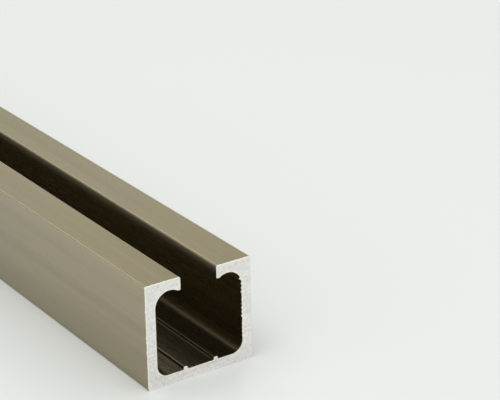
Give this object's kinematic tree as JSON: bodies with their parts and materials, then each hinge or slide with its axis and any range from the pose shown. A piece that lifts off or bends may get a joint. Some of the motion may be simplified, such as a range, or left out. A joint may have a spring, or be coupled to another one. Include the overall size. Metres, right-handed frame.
{
  "type": "aluminium extrusion profile",
  "caption": "Straight length of C-section aluminium extrusion with inturned lips, rounded wheel races and small inner ribs, sawn square at each end, used as sliding-door track.",
  "frame": {"origin": "middle of the web's outer face, half way along the length, where the profile rests", "axes": "+X along the extrusion, +Y across the section, +Z from the web up to the slot between the lips"},
  "size_m": [1, 0.033, 0.0305],
  "materials": {
    "bronze_anodised": "satin bronze anodised, with fine lines along the extrusion",
    "sawn_aluminium": "bare metal, as sawn"
  },
  "bodies": {
    "root": {"track_profile": "bronze_anodised"}
  },
  "joints": []
}
